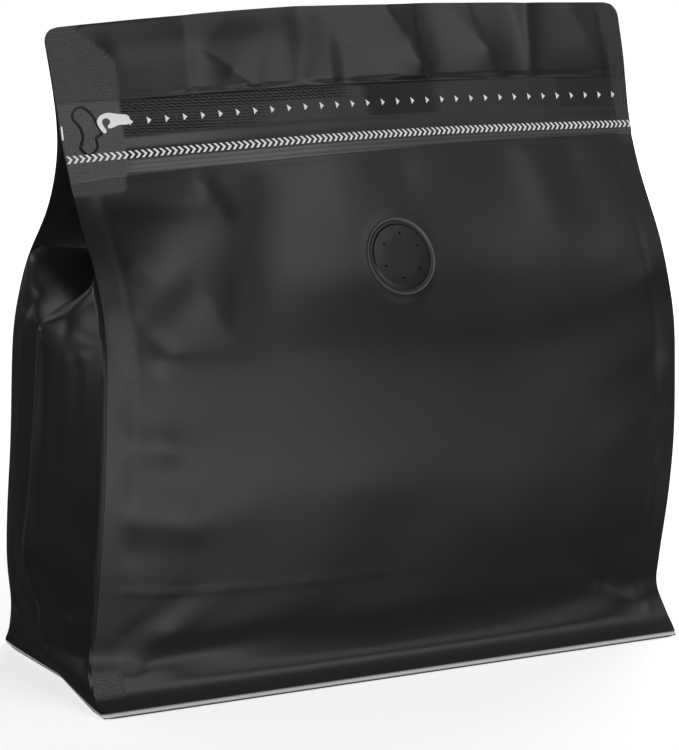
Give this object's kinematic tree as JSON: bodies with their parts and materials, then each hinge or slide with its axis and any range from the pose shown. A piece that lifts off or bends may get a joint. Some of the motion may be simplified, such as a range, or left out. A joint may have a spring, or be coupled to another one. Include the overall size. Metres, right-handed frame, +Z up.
{
  "type": "coffee bag with valve",
  "caption": "Filled flat-bottomed coffee bag of matt black film with side gussets, a pull-tab zip strip across the front, a sealed flap above it and a one-way degassing valve.",
  "frame": {"origin": "under the middle of the bag, on the surface it stands on", "axes": "+X to the right along the zip as the front is seen, -Y out of the front with the valve, +Z up"},
  "size_m": [0.2118, 0.1044, 0.2034],
  "materials": {
    "film": "matt black laminate film, satin where it is heat-sealed",
    "zip": "satin black strip with an embossed texture and light print",
    "valve": "smooth black plastic under the film, with a light rim"
  },
  "bodies": {
    "root": {"bag_body": "film", "zip_strip": "zip", "pull_tab": "zip", "degassing_valve": "valve"}
  },
  "joints": []
}
